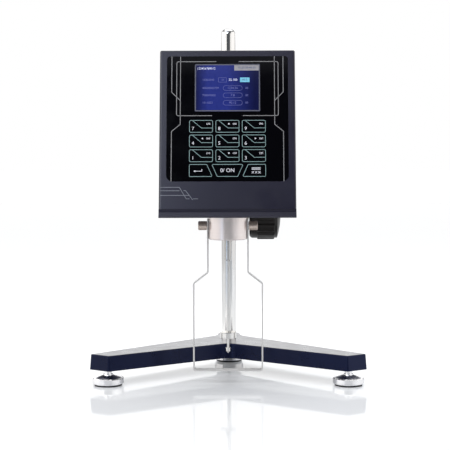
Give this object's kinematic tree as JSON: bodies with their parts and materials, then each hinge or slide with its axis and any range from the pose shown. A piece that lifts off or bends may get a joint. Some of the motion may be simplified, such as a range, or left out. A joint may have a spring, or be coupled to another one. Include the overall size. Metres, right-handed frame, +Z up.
{
  "type": "rotational viscometer",
  "caption": "Bench rotational viscometer: sloped keypad head on a toothed mast with levelling feet, guard leg and disc spindle.",
  "frame": {"origin": "on the floor, under the middle of the object's width and depth", "axes": "+Z up, +Y to the rear, the keypad faces -Y"},
  "size_m": [0.3156, 0.22, 0.412],
  "materials": {
    "base_paint": "satin dark navy paint",
    "head_paint": "satin navy graphite paint",
    "block_paint": "satin dark coated casting",
    "chrome": "polished",
    "steel": "fine turned",
    "satin_aluminium": "satin anodised",
    "bronze": "sintered",
    "foot_rubber": "matte",
    "knob_plastic": "fine texture",
    "panel_film": "gloss film",
    "key_film": "gloss film with printed outline",
    "lens": "clear window over a lit display",
    "circuit_board": "solder mask",
    "fitting_plastic": "moulded",
    "vial_fluid": "clear green"
  },
  "bodies": {
    "stand": {"base_casting": "base_paint", "mast": "chrome", "mast_nut": "steel"},
    "foot_pad_left": {"foot_ring_left": "foot_rubber"},
    "foot_turner_left": {"foot_screw_left": "chrome"},
    "foot_pad_right": {"foot_ring_right": "foot_rubber"},
    "foot_turner_right": {"foot_screw_right": "chrome"},
    "foot_pad_rear": {"foot_ring_rear": "foot_rubber"},
    "foot_turner_rear": {"foot_screw_rear": "chrome"},
    "carriage": {"clamp_block": "block_paint", "guide_bushes": "bronze", "tension_screw": "steel", "pinion_bush": "bronze", "head_housing": "head_paint", "rear_cover": "head_paint", "bottom_tray": "head_paint", "case_screws": "steel", "bracket_screws": "steel", "membrane_panel": "panel_film", "display_lens": "lens", "display_module": "fitting_plastic", "main_board": "circuit_board", "power_board": "circuit_board", "collar": "satin_aluminium", "bearing_plate": "satin_aluminium", "jewel_bearing": "bronze", "guard_leg": "steel", "pillars": "steel", "motor_plate": "steel", "drive_motor": "steel", "power_inlet": "fitting_plastic", "switch_frame": "fitting_plastic", "probe_socket": "fitting_plastic", "data_port": "steel", "level_body": "satin_aluminium", "level_vial": "vial_fluid"},
    "lift_drive": {"pinion": "steel", "lift_knob": "knob_plastic", "knob_cap": "knob_plastic"},
    "drive_rotor": {"drive_shaft": "steel", "hairspring": "bronze"},
    "spindle_rotor": {"pivot_shaft": "steel", "torque_dial": "satin_aluminium", "spindle_coupling": "steel", "spindle": "steel"},
    "rocker": {"power_rocker": "fitting_plastic"},
    "screw_left": {"thumbscrew_left": "satin_aluminium"},
    "screw_right": {"thumbscrew_right": "satin_aluminium"},
    "key_7_cap": {"key_7": "key_film"},
    "key_8_cap": {"key_8": "key_film"},
    "key_9_cap": {"key_9": "key_film"},
    "key_4_cap": {"key_4": "key_film"},
    "key_5_cap": {"key_5": "key_film"},
    "key_6_cap": {"key_6": "key_film"},
    "key_1_cap": {"key_1": "key_film"},
    "key_2_cap": {"key_2": "key_film"},
    "key_3_cap": {"key_3": "key_film"},
    "key_enter_cap": {"key_enter": "key_film"},
    "key_zero_cap": {"key_zero": "key_film"},
    "key_clear_cap": {"key_clear": "key_film"}
  },
  "joints": [
    {"name": "head_lift", "type": "slide", "parent": "stand", "child": "carriage", "axis": [0, 0, 1], "range_m": [-0.012, 0.15]},
    {"name": "lift_knob_turn", "type": "hinge", "parent": "carriage", "child": "lift_drive", "pos_m": [0, 0.0752, 0.185], "axis": [1, 0, 0], "range_deg": [-76.5, 955]},
    {"name": "foot_height_left", "type": "slide", "parent": "stand", "child": "foot_pad_left", "axis": [0, 0, 1], "range_m": [-0.008, 0.0025]},
    {"name": "foot_turn_left", "type": "hinge", "parent": "foot_pad_left", "child": "foot_turner_left", "pos_m": [-0.1363, -0.063, 0.01], "axis": [0, 0, 1], "range_deg": [-2306, 722]},
    {"name": "foot_height_right", "type": "slide", "parent": "stand", "child": "foot_pad_right", "axis": [0, 0, 1], "range_m": [-0.008, 0.0025]},
    {"name": "foot_turn_right", "type": "hinge", "parent": "foot_pad_right", "child": "foot_turner_right", "pos_m": [0.1363, -0.063, 0.01], "axis": [0, 0, 1], "range_deg": [-2306, 722]},
    {"name": "foot_height_rear", "type": "slide", "parent": "stand", "child": "foot_pad_rear", "axis": [0, 0, 1], "range_m": [-0.008, 0.0025]},
    {"name": "foot_turn_rear", "type": "hinge", "parent": "foot_pad_rear", "child": "foot_turner_rear", "pos_m": [0, 0.0922, 0.01], "axis": [0, 0, 1], "range_deg": [-2306, 722]},
    {"name": "motor_spin", "type": "hinge", "parent": "carriage", "child": "drive_rotor", "pos_m": [0, -0.055, 0.226], "axis": [0, 0, 1], "continuous": true},
    {"name": "spring_twist", "type": "hinge", "parent": "drive_rotor", "child": "spindle_rotor", "pos_m": [0, -0.055, 0.212], "axis": [0, 0, -1], "range_deg": [0, 88], "stiffness_Nm_per_rad": 0.00048},
    {"name": "power_switch", "type": "hinge", "parent": "carriage", "child": "rocker", "pos_m": [-0.048, 0.0215, 0.264], "axis": [-1, 0, 0], "range_deg": [0, 16]},
    {"name": "thumbscrew_left_turn", "type": "hinge", "parent": "carriage", "child": "screw_left", "pos_m": [-0.029, -0.055, 0.1806], "axis": [-1, 0, 0], "range_deg": [0, 720]},
    {"name": "thumbscrew_right_turn", "type": "hinge", "parent": "carriage", "child": "screw_right", "pos_m": [0.029, -0.055, 0.1806], "axis": [1, 0, 0], "range_deg": [0, 720]},
    {"name": "key_7_press", "type": "slide", "parent": "carriage", "child": "key_7_cap", "axis": [0, 0.9715, -0.2368], "range_m": [0, 0.00035], "stiffness_N_per_m": 1500},
    {"name": "key_8_press", "type": "slide", "parent": "carriage", "child": "key_8_cap", "axis": [0, 0.9715, -0.2368], "range_m": [0, 0.00035], "stiffness_N_per_m": 1500},
    {"name": "key_9_press", "type": "slide", "parent": "carriage", "child": "key_9_cap", "axis": [0, 0.9715, -0.2368], "range_m": [0, 0.00035], "stiffness_N_per_m": 1500},
    {"name": "key_4_press", "type": "slide", "parent": "carriage", "child": "key_4_cap", "axis": [0, 0.9715, -0.2368], "range_m": [0, 0.00035], "stiffness_N_per_m": 1500},
    {"name": "key_5_press", "type": "slide", "parent": "carriage", "child": "key_5_cap", "axis": [0, 0.9715, -0.2368], "range_m": [0, 0.00035], "stiffness_N_per_m": 1500},
    {"name": "key_6_press", "type": "slide", "parent": "carriage", "child": "key_6_cap", "axis": [0, 0.9715, -0.2368], "range_m": [0, 0.00035], "stiffness_N_per_m": 1500},
    {"name": "key_1_press", "type": "slide", "parent": "carriage", "child": "key_1_cap", "axis": [0, 0.9715, -0.2368], "range_m": [0, 0.00035], "stiffness_N_per_m": 1500},
    {"name": "key_2_press", "type": "slide", "parent": "carriage", "child": "key_2_cap", "axis": [0, 0.9715, -0.2368], "range_m": [0, 0.00035], "stiffness_N_per_m": 1500},
    {"name": "key_3_press", "type": "slide", "parent": "carriage", "child": "key_3_cap", "axis": [0, 0.9715, -0.2368], "range_m": [0, 0.00035], "stiffness_N_per_m": 1500},
    {"name": "key_enter_press", "type": "slide", "parent": "carriage", "child": "key_enter_cap", "axis": [0, 0.9715, -0.2368], "range_m": [0, 0.00035], "stiffness_N_per_m": 1500},
    {"name": "key_zero_press", "type": "slide", "parent": "carriage", "child": "key_zero_cap", "axis": [0, 0.9715, -0.2368], "range_m": [0, 0.00035], "stiffness_N_per_m": 1500},
    {"name": "key_clear_press", "type": "slide", "parent": "carriage", "child": "key_clear_cap", "axis": [0, 0.9715, -0.2368], "range_m": [0, 0.00035], "stiffness_N_per_m": 1500}
  ],
  "couplings": [
    {"joint": "lift_knob_turn", "follows": "head_lift", "rad_per_m": 111.11},
    {"joint": "foot_turn_left", "follows": "foot_height_left", "rad_per_m": 5026.5},
    {"joint": "foot_turn_right", "follows": "foot_height_right", "rad_per_m": 5026.5},
    {"joint": "foot_turn_rear", "follows": "foot_height_rear", "rad_per_m": 5026.5}
  ]
}
